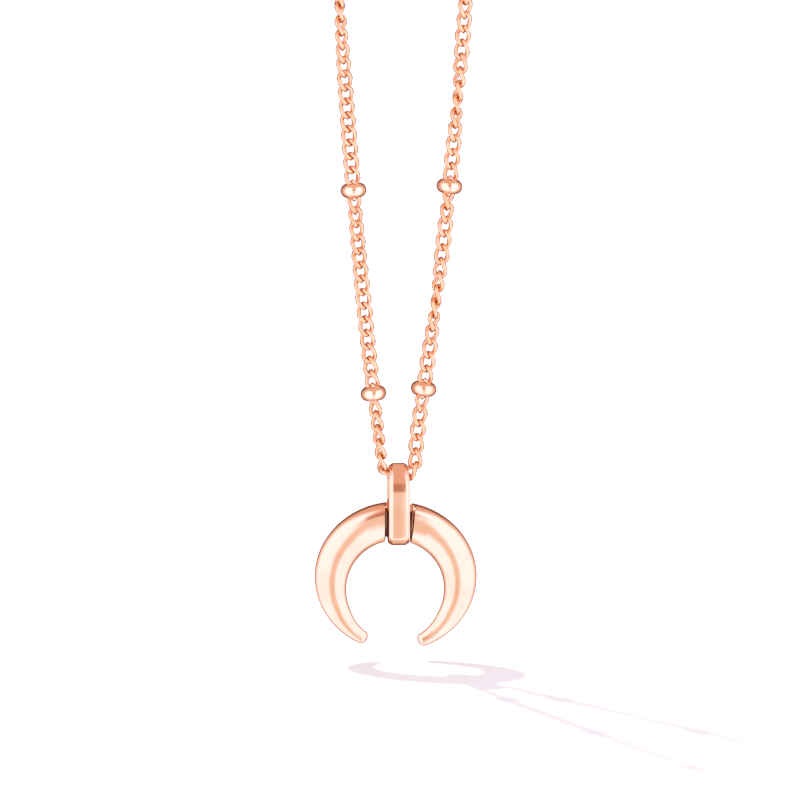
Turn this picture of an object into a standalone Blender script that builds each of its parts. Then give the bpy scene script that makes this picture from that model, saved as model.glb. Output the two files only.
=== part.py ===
"""Pendant necklace: a double-horn crescent on a strap bail, hung on a beaded curb chain.

Frame: +Z up, the front of the pendant faces -Y.  The necklace hangs closed on a round peg, and
the origin is the crown of that peg, under the clasp.  Heights of the chain and the pendant are
measured upwards from the datum line at the foot of the chain.
"""
import math

import bmesh
import bpy
import numpy as np
from mathutils import Matrix, Vector

MM = 0.001

# ---- driving dimensions ------------------------------------------------------------------
CHAIN_RADIUS = 0.95 * MM          # envelope of the twisted links
CHAIN_TIP_RADIUS = 0.25 * MM      # envelope of the last link, where it enters a bead
CHAIN_TAPER = 1.1 * MM
CHAIN_POINT_STEP = 2.6 * MM
LOOP_HALF_HEIGHT = 0.50 * MM      # links lie edge-on to the bail at the foot of the chain
LOOP_HALF_DEPTH = 0.60 * MM
LOOP_SLIM_LENGTH = 3.6 * MM
LOOP_SWELL_LENGTH = 1.6 * MM
FOOT_HEIGHT = 0.18 * MM           # lowest point of the chain's centreline, above the datum
FOOT_RISE = 1.92 * MM
FOOT_SQUARENESS = 2.5             # 2 is an ellipse; more gives the strap room in the bight
FOOT_STEPS = 9
SWELL_STEPS = 3

STATION = 25.4 * MM               # bead to bead, along the chain
LINKS_PER_STATION = 15
LINK_PITCH = STATION / LINKS_PER_STATION
BEADS_PER_SIDE = 8
FIRST_BEAD = {"left": 12.00 * MM, "right": 12.55 * MM}   # the stretch through the bail is a link short
BEAD_RADIUS = 1.60 * MM
BEAD_LENGTH = 1.80 * MM
BEAD_BORE_RADIUS = 0.40 * MM
BEAD_GAP = 0.20 * MM

PEG_START_HEIGHT = 187.5 * MM     # where the strands start to turn over the peg
CROWN_DROP = 1.75 * MM            # from the clasp's middle line down to the peg

END_LINK_RADIUS = 0.96 * MM
END_LINK_WIRE = 0.24 * MM
JUMP_RING_RADIUS = 1.60 * MM
JUMP_RING_WIRE = 0.25 * MM
RING_PLAY = 0.15 * MM

BAIL_WIDTH = 2.60 * MM
BAIL_CROWN_WIDTH = 2.34 * MM
BAIL_DEPTH = 4.80 * MM
BAIL_STRAP = 0.85 * MM
BAIL_TOP = 2.00 * MM
BAIL_BOTTOM = -8.30 * MM
BAIL_BEVEL_WIDTH = 0.48 * MM
BAIL_BEVEL_DEPTH = 0.30 * MM
BAIL_CROWN_RISE = 3.75 * MM       # height of the oval bend over the chain
BAIL_FOOT_RISE = 1.50 * MM        # height of the tighter bend under the neck
BAIL_ARC_STEPS = 14

NECK_HEIGHT = -5.90 * MM          # axis on which the neck turns in the bail, above the datum
NECK_BELOW = 1.42 * MM            # from the axis down to the neck's underside
NECK_ABOVE = 2.70 * MM
NECK_HALF_DEPTH = 1.12 * MM
CRESCENT_TILT = math.radians(3.0)
HORN_OUTER_CENTRE = -6.39 * MM    # below the neck
HORN_OUTER_HALF_WIDTH = 10.12 * MM
HORN_OUTER_HALF_HEIGHT = 9.40 * MM
HORN_INNER_CENTRE = -7.99 * MM
HORN_INNER_RADIUS = 6.12 * MM
HORN_INNER_FLARE = 0.35 * MM      # the inner edge runs out towards the tips
HORN_FLARE_START = math.radians(120.0)
HORN_FLARE_SPAN = math.radians(38.0)
HORN_SHOULDER = math.radians(9.9)
HORN_INNER_SHOULDER = math.radians(9.0)
HORN_LEAN_FADE = math.radians(35.0)
HORN_END = math.radians(159.4)
HORN_TIP_SPAN = math.radians(4.0) # the last few degrees round off to the tip
HORN_TIP_CLOSE = math.radians(88.0)
HORN_TIP_STEPS = 4
# where the crest stands across the horn, from -1 at the inner edge to 1 at the outer one
HORN_CREST = [(0.0, 0.40), (0.45, 0.30), (0.80, 0.12), (1.57, -0.10), (2.10, -0.16), (2.50, 0.05), (2.77, 0.30)]
SHOULDER_TOP = 1.73 * MM
SHOULDER_BOTTOM = 1.55 * MM
HORN_HALF_DEPTH = 1.70 * MM
HORN_TIP_HALF_DEPTH = 0.55 * MM

CLASP_SPAN = 7.40 * MM            # between the wires of the two jump rings
CLASP_HALF_THICKNESS = 0.85 * MM
CLASP_END_HALF_THICKNESS = 0.40 * MM
CLASP_PIVOT = (2.75 * MM, 0.30 * MM)
CLASP_PIN_RADIUS = 0.25 * MM
CLASP_SLOT_HALF_WIDTH = 0.42 * MM
CLASP_PIN_LENGTH = 2.0 * MM
TRIGGER_HALF_THICKNESS = 0.35 * MM
SPRING_WIRE = 0.10 * MM

# outlines in the clasp's own plane, in millimetres: (along, across)
CLASP_TAIL = (0.0, 1.22)          # middle and radius of the rounded tail
CLASP_CLAW = (6.7, 2.40)
CLASP_TAIL_HOLE = 0.62
CLASP_CLAW_HOLE = (5.0, 0.9, 6.7, 1.32)
CLASP_PIN_PLAY = 0.03
TRIGGER_PIN_PLAY = 0.05
CLASP_REACH = 3.5                 # beyond the body's edge on either side
CLASP_SLOT = (1.5, 4.6)
CLASP_MOUTH = (3.6, 5.85, 0.37)
CLASP_THIN_ENDS = {"tail": (-2.0, 1.05), "claw": (4.95, 10.0)}
CUTTER_HALF_HEIGHT = 2.0 * MM
TRIGGER_PATH = [(2.60, -2.75), (2.66, -1.9), (2.70, -0.9), (2.78, 0.1),
                (3.05, 0.85), (3.75, 1.42), (4.6, 1.68), (5.45, 1.76)]
TRIGGER_WIDTHS = [0.42, 0.46, 0.50, 0.62, 0.60, 0.46, 0.42, 0.36]
SPRING_PATH = [(1.66, -0.55), (1.80, -0.20), (1.86, 0.20), (1.80, 0.60), (1.66, 0.95)]

CHAIN_SIDES = 8
BEAD_SIDES = 16
BEAD_PROFILE_STEPS = 6
HORN_SIDES = 16
HORN_STATIONS = 24
FOOT_SAMPLES = 60
STRAND_SAMPLES = 1200
ARC_SAMPLES = 200

# side: (sign, start, spread, reach, near) of the strand's distance from the middle line
STRANDS = {
    "left": (-1, 1.67 * MM, 7.15 * MM, 50.0 * MM, 1.40 * MM),
    "right": (1, 0.64 * MM, 6.30 * MM, 25.0 * MM, 2.05 * MM),
}

COLOURS = {
    "gold_chain": (0.86, 0.55, 0.41),
    "gold_bead": (0.90, 0.60, 0.46),
    "gold_pendant": (0.88, 0.57, 0.43),
    "gold_clasp": (0.84, 0.54, 0.40),
    "spring_steel": (0.62, 0.62, 0.64),
}


# ---- scene helpers -----------------------------------------------------------------------
def clear_scene():
    for obj in list(bpy.data.objects):
        bpy.data.objects.remove(obj, do_unlink=True)


def metal(name, roughness=0.18):
    """One metallic material for each piece, in the colour of its finish."""
    material = bpy.data.materials.new(name)
    material.use_nodes = True
    shader = material.node_tree.nodes["Principled BSDF"]
    finish = name.split("/")[0]
    shader.inputs["Base Color"].default_value = (*COLOURS[finish], 1.0)
    shader.inputs["Metallic"].default_value = 1.0
    shader.inputs["Roughness"].default_value = roughness
    return material


def pivot(name, place, parent=None):
    """An empty on a joint's axis, which carries the pieces of one moving body."""
    empty = bpy.data.objects.new(name, None)
    bpy.context.scene.collection.objects.link(empty)
    empty.empty_display_size = 2.0 * MM
    offset = Vector(place)
    if parent is not None:
        empty.parent = parent[0]
        offset = offset - parent[1]
    empty.location = offset
    return empty, Vector(place)


def piece(name, verts, faces, finish, body, smooth_angle=50.0):
    """A closed mesh from points in the necklace's frame, hung on its body's pivot."""
    holder, origin = body
    mesh = bpy.data.meshes.new(name)
    mesh.from_pydata([Vector(v) - origin for v in verts], [], faces)
    work = bmesh.new()
    work.from_mesh(mesh)
    bmesh.ops.recalc_face_normals(work, faces=work.faces)
    work.to_mesh(mesh)
    work.free()
    mesh.shade_smooth()
    mesh.set_sharp_from_angle(angle=math.radians(smooth_angle))
    mesh.materials.append(metal(f"{finish}/{name}"))
    obj = bpy.data.objects.new(name, mesh)
    obj.parent = holder
    bpy.context.scene.collection.objects.link(obj)
    return obj


def cut(obj, cutter):
    """Subtract a hidden cutter from a piece."""
    cutter.hide_render = True
    cutter.display_type = "WIRE"
    modifier = obj.modifiers.new(f"cut_{cutter.name}", "BOOLEAN")
    modifier.operation = "DIFFERENCE"
    modifier.solver = "EXACT"
    modifier.object = cutter


# ---- shape helpers -----------------------------------------------------------------------
def bridge(rings, closed=False):
    """Faces between rings of equal length; an open run of rings gets a cap at each end."""
    sides = len(rings[0])
    count = len(rings)
    faces = []
    for i in range(count if closed else count - 1):
        for j in range(sides):
            here = i * sides
            there = ((i + 1) % count) * sides
            k = (j + 1) % sides
            faces.append((here + j, here + k, there + k, there + j))
    if not closed:
        faces.append(tuple(range(sides)))
        faces.append(tuple((count - 1) * sides + j for j in range(sides)))
    return [point for ring in rings for point in ring], faces


def oval(centre, across, depth, sides):
    """A ring of points; across and depth are its two half axes as vectors."""
    ring = []
    for j in range(sides):
        turn = 2.0 * math.pi * (j + 0.5) / sides
        ring.append(centre + across * math.cos(turn) + depth * math.sin(turn))
    return ring


def tube(points, across_sizes, depth_sizes, sides, depth_axis=Vector((0, 1, 0)), closed=False):
    """Sweep an oval along a flat path whose plane is square to depth_axis."""
    rings = []
    count = len(points)
    for i, point in enumerate(points):
        before = points[i - 1] if closed or i else points[i]
        after = points[(i + 1) % count] if closed or i < count - 1 else points[i]
        across = (after - before).cross(depth_axis).normalized()
        rings.append(oval(point, across * across_sizes[i], depth_axis * depth_sizes[i], sides))
    return bridge(rings, closed)


def ring_shape(centre, radius, wire, first, second, steps=20, sides=8):
    """A round wire ring lying in the plane of two unit vectors."""
    points = []
    for i in range(steps):
        turn = 2.0 * math.pi * i / steps
        points.append(centre + (first * math.cos(turn) + second * math.sin(turn)) * radius)
    sizes = [wire] * steps
    return tube(points, sizes, sizes, sides, first.cross(second).normalized(), closed=True)


def smooth_step(value):
    value = min(max(value, 0.0), 1.0)
    return value * value * (3.0 - 2.0 * value)


# ---- route of the chain ------------------------------------------------------------------
def half_gap(side, height):
    """Distance from the middle line to a strand at a height above the datum."""
    _, start, spread, reach, near = STRANDS[side]
    reach_out = start + spread * math.log(1.0 + height / reach)
    return (near ** 4 + reach_out ** 4) ** 0.25


def crown_centre():
    """Middle of the arc over the peg, and its radius."""
    left = half_gap("left", PEG_START_HEIGHT)
    right = half_gap("right", PEG_START_HEIGHT)
    return 0.5 * (right - left), 0.5 * (right + left)


ARC_MIDDLE, ARC_RADIUS = crown_centre()
CLASP_HALF_ANGLE = math.asin(0.5 * CLASP_SPAN / ARC_RADIUS)
CLASP_HEIGHT = PEG_START_HEIGHT + ARC_RADIUS * math.cos(CLASP_HALF_ANGLE)
DATUM = CROWN_DROP - CLASP_HEIGHT


class Strand:
    """One side of the chain, from the foot of the loop to its jump ring at the clasp."""

    def __init__(self, side):
        sign = STRANDS[side][0]
        points = []
        join = FOOT_HEIGHT + FOOT_RISE
        foot_width = half_gap(side, join)
        for i in range(FOOT_SAMPLES):
            turn = 0.5 * math.pi * i / FOOT_SAMPLES
            out = foot_width * math.sin(turn) ** (2.0 / FOOT_SQUARENESS)
            drop = FOOT_RISE * math.cos(turn) ** (2.0 / FOOT_SQUARENESS)
            points.append((sign * out, join - drop))
        for i in range(STRAND_SAMPLES):
            height = join + (PEG_START_HEIGHT - join) * i / STRAND_SAMPLES
            points.append((sign * half_gap(side, height), height))
        for i in range(ARC_SAMPLES):
            turn = (0.5 * math.pi - CLASP_HALF_ANGLE) * i / (ARC_SAMPLES - 1)
            out = ARC_MIDDLE + sign * ARC_RADIUS * math.cos(turn)
            points.append((out, PEG_START_HEIGHT + ARC_RADIUS * math.sin(turn)))
        self.points = np.array(points)
        steps = np.hypot(*np.diff(self.points, axis=0).T)
        self.run = np.concatenate([[0.0], np.cumsum(steps)])
        self.length = float(self.run[-1])

    def at(self, along):
        """The point at a distance along the chain from its foot."""
        out = np.interp(along, self.run, self.points[:, 0])
        height = np.interp(along, self.run, self.points[:, 1])
        return Vector((out, 0.0, DATUM + height))

    def heading(self, along):
        step = 0.2 * MM
        return (self.at(along + step) - self.at(along - step)).normalized()


LEFT = Strand("left")
RIGHT = Strand("right")
SIDES = {"left": LEFT, "right": RIGHT}


def bead_place(side, station):
    """Distance along the strand to the middle of a bead; station 1 is the lowest."""
    return FIRST_BEAD[side] + (station - 1) * STATION


def joint_place(station):
    """Middle of the hinge line through the first link contacts under two beads, and its direction."""
    left = LEFT.at(bead_place("left", station) - 0.5 * LINK_PITCH)
    right = RIGHT.at(bead_place("right", station) - 0.5 * LINK_PITCH)
    return 0.5 * (left + right), (right - left).normalized()


# ---- chain, beads and rings --------------------------------------------------------------
def chain_size(from_end):
    """Envelope radius of a stretch at a distance from its nearer end."""
    swell = smooth_step(from_end / CHAIN_TAPER)
    return CHAIN_TIP_RADIUS + (CHAIN_RADIUS - CHAIN_TIP_RADIUS) * swell


def stretch_stations(low, high):
    """Distances along the chain, close together in the tapers at both ends."""
    ends = [0.0, 0.3 * CHAIN_TAPER, 0.65 * CHAIN_TAPER, CHAIN_TAPER]
    middle = np.arange(low + CHAIN_TAPER, high - CHAIN_TAPER, CHAIN_POINT_STEP)[1:]
    return [low + e for e in ends] + list(middle) + [high - e for e in reversed(ends)]


def chain_stretch(name, side, low, high, body):
    """The links between two beads, as one envelope."""
    stations = stretch_stations(low, high)
    points = [SIDES[side].at(s) for s in stations]
    sizes = [chain_size(min(s - low, high - s)) for s in stations]
    piece(name, *tube(points, sizes, sizes, CHAIN_SIDES), "gold_chain", body)


def centre_half(side):
    """One side of the centre stretch: stations from the foot up, and the two half sizes at each."""
    reach = bead_place(side, 1) - 0.5 * BEAD_LENGTH - BEAD_GAP
    swell_end = LOOP_SLIM_LENGTH + LOOP_SWELL_LENGTH
    foot = list(np.linspace(0.0, LOOP_SLIM_LENGTH, FOOT_STEPS))
    swell = list(np.linspace(LOOP_SLIM_LENGTH, swell_end, SWELL_STEPS))[1:]
    upper = [s for s in stretch_stations(0.0, reach) if s > swell_end + 1.0 * MM]
    half = []
    for s in foot + swell + upper:
        full = chain_size(reach - s)
        grown = smooth_step((s - LOOP_SLIM_LENGTH) / LOOP_SWELL_LENGTH)
        across = LOOP_HALF_HEIGHT + (full - LOOP_HALF_HEIGHT) * grown
        depth = LOOP_HALF_DEPTH + (full - LOOP_HALF_DEPTH) * grown
        half.append((SIDES[side].at(s), across, depth))
    return half


def centre_stretch(body):
    """The links between the two lowest beads, through the bail."""
    run = centre_half("left")[::-1] + centre_half("right")[1:]
    points, across, depth = (list(column) for column in zip(*run))
    piece("chain_centre", *tube(points, across, depth, CHAIN_SIDES), "gold_chain", body)


def bead(name, side, station, body):
    """A turned rondelle with a bore along the chain."""
    along = bead_place(side, station)
    middle = SIDES[side].at(along)
    axis = SIDES[side].heading(along)
    across = axis.cross(Vector((0, 1, 0)))
    crown = BEAD_RADIUS - 0.5 * BEAD_LENGTH
    outline = [(BEAD_BORE_RADIUS, -0.5 * BEAD_LENGTH)]
    for i in range(BEAD_PROFILE_STEPS + 1):
        turn = math.pi * (i / BEAD_PROFILE_STEPS - 0.5)
        outline.append((crown + 0.5 * BEAD_LENGTH * math.cos(turn), 0.5 * BEAD_LENGTH * math.sin(turn)))
    outline.append((BEAD_BORE_RADIUS, 0.5 * BEAD_LENGTH))
    rings = []
    for i in range(BEAD_SIDES):
        turn = 2.0 * math.pi * i / BEAD_SIDES
        out = across * math.cos(turn) + Vector((0, 1, 0)) * math.sin(turn)
        rings.append([middle + out * radius + axis * rise for radius, rise in outline])
    piece(name, *bridge(rings, closed=True), "gold_bead", body, 40.0)


def end_link(name, side, body):
    """The soldered ring that ends a strand, flat on the peg."""
    centre_along = end_link_place(side)
    heading = SIDES[side].heading(centre_along)
    shape = ring_shape(SIDES[side].at(centre_along), END_LINK_RADIUS, END_LINK_WIRE,
                       heading, Vector((0, 1, 0)))
    piece(name, *shape, "gold_chain", body)


def jump_ring_place(side):
    """Distance along the strand to the middle of its jump ring."""
    return SIDES[side].length - JUMP_RING_RADIUS


def end_link_place(side):
    overlap = END_LINK_WIRE + JUMP_RING_WIRE + RING_PLAY
    near_wire = jump_ring_place(side) - JUMP_RING_RADIUS
    return near_wire + overlap - END_LINK_RADIUS


def jump_ring(name, side, body):
    """The ring between the strand and the clasp, standing on edge."""
    along = jump_ring_place(side)
    middle = SIDES[side].at(along)
    far = SIDES[side].at(SIDES[side].length)
    heading = (far - middle).normalized()
    centre = far - heading * JUMP_RING_RADIUS
    outward = heading.cross(Vector((0, 1, 0)))
    shape = ring_shape(centre, JUMP_RING_RADIUS, JUMP_RING_WIRE, heading, outward, 24)
    piece(name, *shape, "gold_clasp", body)


# ---- bail --------------------------------------------------------------------------------
def bail_bend(middle, rise, start):
    """Stations round one bend of the strap: point on the outer face, its outward direction, lift."""
    radius = 0.5 * BAIL_DEPTH
    stations = []
    for i in range(BAIL_ARC_STEPS + 1):
        turn = start + math.pi * i / BAIL_ARC_STEPS
        point = Vector((0.0, -radius * math.cos(turn), middle + rise * math.sin(turn)))
        out = Vector((0.0, -rise * math.cos(turn), radius * math.sin(turn))).normalized()
        stations.append((point, out, math.sin(turn)))
    return stations


def bail(body):
    """A closed strap: flat front and back, bent over the chain and under the neck."""
    stations = bail_bend(DATUM + BAIL_TOP - BAIL_CROWN_RISE, BAIL_CROWN_RISE, 0.0)
    stations += bail_bend(DATUM + BAIL_BOTTOM + BAIL_FOOT_RISE, BAIL_FOOT_RISE, math.pi)
    rings = []
    for point, out, lift in stations:
        crown = smooth_step(1.6 * max(lift, 0.0) - 0.6)
        half = 0.5 * (BAIL_WIDTH + (BAIL_CROWN_WIDTH - BAIL_WIDTH) * crown)
        outline = [
            (-half, BAIL_STRAP),
            (-half, BAIL_BEVEL_DEPTH),
            (BAIL_BEVEL_WIDTH - half, 0.0),
            (half - BAIL_BEVEL_WIDTH, 0.0),
            (half, BAIL_BEVEL_DEPTH),
            (half, BAIL_STRAP),
        ]
        rings.append([point + Vector((x, 0.0, 0.0)) - out * depth for x, depth in outline])
    piece("bail", *bridge(rings, closed=True), "gold_pendant", body, 25.0)


# ---- crescent ----------------------------------------------------------------------------
def horn_edges(turn):
    """Outer and inner edge points of the crescent, at an angle from its top."""
    outer = Vector((
        HORN_OUTER_HALF_WIDTH * math.sin(turn),
        0.0,
        HORN_OUTER_CENTRE + HORN_OUTER_HALF_HEIGHT * math.cos(turn),
    ))
    radial = math.atan2(outer.x, outer.z - HORN_INNER_CENTRE)
    shoulder_lean = math.asin(SHOULDER_BOTTOM / HORN_INNER_RADIUS) - HORN_INNER_SHOULDER
    fade = 1.0 - smooth_step((turn - HORN_SHOULDER) / HORN_LEAN_FADE)
    flare = smooth_step((turn - HORN_FLARE_START) / HORN_FLARE_SPAN)
    inner_turn = radial + shoulder_lean * fade
    radius = HORN_INNER_RADIUS + HORN_INNER_FLARE * flare
    inner = Vector((
        radius * math.sin(inner_turn),
        0.0,
        HORN_INNER_CENTRE + radius * math.cos(inner_turn),
    ))
    return outer, inner


def horn_section(turn, round_off):
    """One oval ring across a horn; round_off shrinks it towards the tip's end."""
    outer, inner = horn_edges(turn)
    share = smooth_step(turn / HORN_END)
    depth = (HORN_HALF_DEPTH + (HORN_TIP_HALF_DEPTH - HORN_HALF_DEPTH) * share) * round_off
    crest = np.interp(turn, *zip(*HORN_CREST))
    half = 0.5 * (outer - inner) * round_off
    ring = []
    for point in oval(Vector(), Vector((1, 0, 0)), Vector((0, 1, 0)), HORN_SIDES):
        across = point.x + crest * point.y * point.y
        ring.append(0.5 * (outer + inner) + half * across + Vector((0, depth * point.y, 0)))
    return ring


def crescent(body):
    """Two horns joined by a round neck that turns in the bail."""
    right = []
    neck_face = Vector((0.5 * (SHOULDER_TOP + SHOULDER_BOTTOM), 0.0, 0.5 * (NECK_ABOVE - NECK_BELOW)))
    upright = Vector((0, 0, 0.5 * (NECK_ABOVE + NECK_BELOW)))
    neck = oval(neck_face, upright, Vector((0, NECK_HALF_DEPTH, 0)), HORN_SIDES)
    right.append(neck)
    tip_start = HORN_END - HORN_TIP_SPAN
    for i in range(HORN_STATIONS):
        turn = HORN_SHOULDER + (tip_start - HORN_SHOULDER) * i / (HORN_STATIONS - 1)
        right.append(horn_section(turn, 1.0))
    for i in range(1, HORN_TIP_STEPS + 1):
        lean = HORN_TIP_CLOSE * i / HORN_TIP_STEPS
        right.append(horn_section(tip_start + HORN_TIP_SPAN * math.sin(lean), math.cos(lean)))
    mirror = Matrix.Scale(-1.0, 4, (1, 0, 0))
    left = [[mirror @ point for point in ring] for ring in reversed(right)]
    place = Matrix.Translation((0.0, 0.0, DATUM + NECK_HEIGHT)) @ Matrix.Rotation(CRESCENT_TILT, 4, "Y")
    rings = [[place @ point for point in ring] for ring in left + right]
    piece("crescent", *bridge(rings), "gold_pendant", body, 35.0)


# ---- clasp -------------------------------------------------------------------------------
class ClaspFrame:
    """Lies flat on the peg: along the clasp, across it (towards the front) and out of it."""

    def __init__(self):
        self.origin = LEFT.at(LEFT.length)
        self.along = (RIGHT.at(RIGHT.length) - self.origin).normalized()
        self.across = Vector((0, -1, 0))
        self.out = self.along.cross(self.across) * -1.0

    def place(self, along, across, out=0.0):
        return self.origin + self.along * along + self.across * across + self.out * out


CLASP = ClaspFrame()


def plate(outline, low, high):
    """A closed slab with an outline in the clasp's plane."""
    rings = [[CLASP.place(u * MM, v * MM, w) for u, v in outline] for w in (low, high)]
    return bridge(rings)


def double_round(left, left_radius, right, right_radius, steps=10):
    """Outline round two circles on the clasp's middle line, in millimetres."""
    lean = math.acos((left_radius - right_radius) / (right - left))
    outline = []
    for i in range(steps + 1):
        turn = -lean + 2.0 * lean * i / steps
        outline.append((right + right_radius * math.cos(turn), right_radius * math.sin(turn)))
    for i in range(steps + 1):
        turn = lean + (2.0 * math.pi - 2.0 * lean) * i / steps
        outline.append((left + left_radius * math.cos(turn), left_radius * math.sin(turn)))
    return outline


def round_outline(centre, radius, steps=16):
    """A circle in the clasp's plane, in millimetres."""
    outline = []
    for i in range(steps):
        turn = 2.0 * math.pi * i / steps
        outline.append((centre[0] + radius * math.cos(turn), centre[1] + radius * math.sin(turn)))
    return outline


def clasp_cutter(name, outline, body, low=-CUTTER_HALF_HEIGHT, high=CUTTER_HALF_HEIGHT):
    return piece(name, *plate(outline, low, high), "gold_clasp", body)


def clasp_block(low, high):
    """A block across the clasp between two distances along it."""
    return [(low, -CLASP_REACH), (high, -CLASP_REACH), (high, CLASP_REACH), (low, CLASP_REACH)]


def clasp_body(root):
    """The flat body with its two eyes, the trigger's slot and the mouth."""
    outline = double_round(*CLASP_TAIL, *CLASP_CLAW)
    body = piece("clasp_body", *plate(outline, -CLASP_HALF_THICKNESS, CLASP_HALF_THICKNESS),
                 "gold_clasp", root, 30.0)
    pivot_mm = (CLASP_PIVOT[0] / MM, CLASP_PIVOT[1] / MM)
    pin_hole = round_outline(pivot_mm, CLASP_PIN_RADIUS / MM + CLASP_PIN_PLAY)
    cut(body, clasp_cutter("pin_hole", pin_hole, root))
    tail_hole = round_outline((CLASP_TAIL[0], 0.0), CLASP_TAIL_HOLE)
    cut(body, clasp_cutter("tail_hole", tail_hole, root))
    slot = clasp_block(*CLASP_SLOT)
    cut(body, clasp_cutter("slot", slot, root, -CLASP_SLOT_HALF_WIDTH, CLASP_SLOT_HALF_WIDTH))
    cut(body, clasp_cutter("claw_hole", double_round(*CLASP_CLAW_HOLE, 9), root))
    low, high, edge = CLASP_MOUTH
    mouth = [(low, edge), (high, edge), (high, CLASP_REACH), (low, CLASP_REACH)]
    cut(body, clasp_cutter("mouth", mouth, root))
    for end, reach in CLASP_THIN_ENDS.items():
        block = clasp_block(*reach)
        cut(body, clasp_cutter(f"{end}_over", block, root, low=CLASP_END_HALF_THICKNESS))
        cut(body, clasp_cutter(f"{end}_under", block, root, high=-CLASP_END_HALF_THICKNESS))


def clasp(root, trigger_body):
    """Lobster clasp: body, pivot pin, trigger and the spring that shuts it."""
    clasp_body(root)
    pivot_mm = (CLASP_PIVOT[0] / MM, CLASP_PIVOT[1] / MM)
    pin = round_outline(pivot_mm, CLASP_PIN_RADIUS / MM, 12)
    half_pin = 0.5 * CLASP_PIN_LENGTH
    piece("clasp_pin", *plate(pin, -half_pin, half_pin), "gold_clasp", root)

    points = [CLASP.place(u * MM, v * MM) for u, v in TRIGGER_PATH]
    widths = [w * MM for w in TRIGGER_WIDTHS]
    shape = tube(points, widths, [TRIGGER_HALF_THICKNESS] * len(widths), 10, CLASP.out)
    trigger = piece("clasp_trigger", *shape, "gold_clasp", trigger_body)
    bore = round_outline(pivot_mm, CLASP_PIN_RADIUS / MM + TRIGGER_PIN_PLAY)
    cut(trigger, clasp_cutter("trigger_bore", bore, root))

    points = [CLASP.place(u * MM, v * MM) for u, v in SPRING_PATH]
    wire = [SPRING_WIRE] * len(points)
    piece("clasp_spring", *tube(points, wire, wire, 8, CLASP.out), "spring_steel", root)


# ---- assembly ----------------------------------------------------------------------------
def build():
    clear_scene()
    root = pivot("hang_point", (0.0, 0.0, 0.0))
    for side in SIDES:
        ring_body = pivot(f"jump_ring_{side}_pivot", SIDES[side].at(SIDES[side].length), root)
        jump_ring(f"jump_ring_{side}", side, ring_body)
        end_link(f"end_link_{side}", side, root)
        top = end_link_place(side) - END_LINK_RADIUS - END_LINK_WIRE - BEAD_GAP
        low = bead_place(side, BEADS_PER_SIDE) + 0.5 * BEAD_LENGTH + BEAD_GAP
        chain_stretch(f"chain_{side}_{BEADS_PER_SIDE}", side, low, top, root)
        bead(f"bead_{side}_{BEADS_PER_SIDE}", side, BEADS_PER_SIDE, root)
    clasp(root, pivot("clasp_trigger_pivot", CLASP.place(*CLASP_PIVOT), root))

    body = root
    for station in range(BEADS_PER_SIDE - 1, 0, -1):
        place, _ = joint_place(station + 1)
        body = pivot(f"span_{station}_pivot", place, body)
        for side in SIDES:
            low = bead_place(side, station) + 0.5 * BEAD_LENGTH + BEAD_GAP
            high = bead_place(side, station + 1) - 0.5 * BEAD_LENGTH - BEAD_GAP
            chain_stretch(f"chain_{side}_{station}", side, low, high, body)
            bead(f"bead_{side}_{station}", side, station, body)

    place, _ = joint_place(1)
    body = pivot("swag_pivot", place, body)
    centre_stretch(body)
    body = pivot("bail_pivot", (0.0, 0.0, DATUM + FOOT_HEIGHT), body)
    bail(body)
    body = pivot("crescent_pivot", (0.0, 0.0, DATUM + NECK_HEIGHT), body)
    crescent(body)


build()
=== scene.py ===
"""A rose-gold necklace: a double-horn crescent on a strap bail, a beaded chain, a lobster clasp.

Shapes are worked out in millimetres and scaled to metres once, when a piece is finished.
"""

import math

import bmesh
import bpy
import numpy as np
from mathutils import Matrix, Vector


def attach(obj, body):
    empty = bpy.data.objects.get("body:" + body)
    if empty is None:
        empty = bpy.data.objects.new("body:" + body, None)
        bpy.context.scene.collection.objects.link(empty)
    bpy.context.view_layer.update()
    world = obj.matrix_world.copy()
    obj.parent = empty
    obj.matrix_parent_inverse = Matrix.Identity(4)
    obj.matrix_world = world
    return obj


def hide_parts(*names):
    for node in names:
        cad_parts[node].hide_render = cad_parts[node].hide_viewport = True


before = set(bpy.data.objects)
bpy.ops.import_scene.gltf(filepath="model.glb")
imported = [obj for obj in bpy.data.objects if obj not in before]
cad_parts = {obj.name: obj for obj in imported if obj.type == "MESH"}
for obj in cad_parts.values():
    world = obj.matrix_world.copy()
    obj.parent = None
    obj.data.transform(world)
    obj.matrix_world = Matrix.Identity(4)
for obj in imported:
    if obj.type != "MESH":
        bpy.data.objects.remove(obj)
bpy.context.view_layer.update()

TO_METRES = 0.001
DEPTH = Vector((0, 1, 0))         # away from the front of the pendant

# ---- sizes of the necklace, in millimetres -----------------------------------------------
STATION = 25.4                    # bead to bead, along the chain
LINKS_PER_STATION = 15            # one of them runs through the bead
LINK_PITCH = STATION / LINKS_PER_STATION
BEADS_PER_SIDE = 8
FIRST_BEAD = {"left": 12.00, "right": 12.55}   # the stretch through the bail is a link short
SWAG_LINKS = 13
WIRE = 0.28                       # radius of the link wire
LINK_HALF_WIDTH = 0.75            # to the middle of the wire
LINK_SQUARENESS = 2.3
LINK_TWIST = math.radians(-95.0)
LINK_STEPS = 14
LINK_SIDES = 6

FOOT_HEIGHT = 0.18                # above the datum line, which is the foot of the chain
FOOT_RISE = 1.92
FOOT_SQUARENESS = 2.5
PEG_START_HEIGHT = 187.5
CROWN_DROP = 1.75
CLASP_SPAN = 7.40

FOOT_SAMPLES = 60                 # points along the three stretches of a strand
STRAND_SAMPLES = 1200
ARC_SAMPLES = 200

# side: (sign, start, spread, reach, near) of the strand's distance from the middle line
STRANDS = {
    "left": (-1, 1.67, 7.15, 50.0, 1.40),
    "right": (1, 0.64, 6.30, 25.0, 2.05),
}

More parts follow.
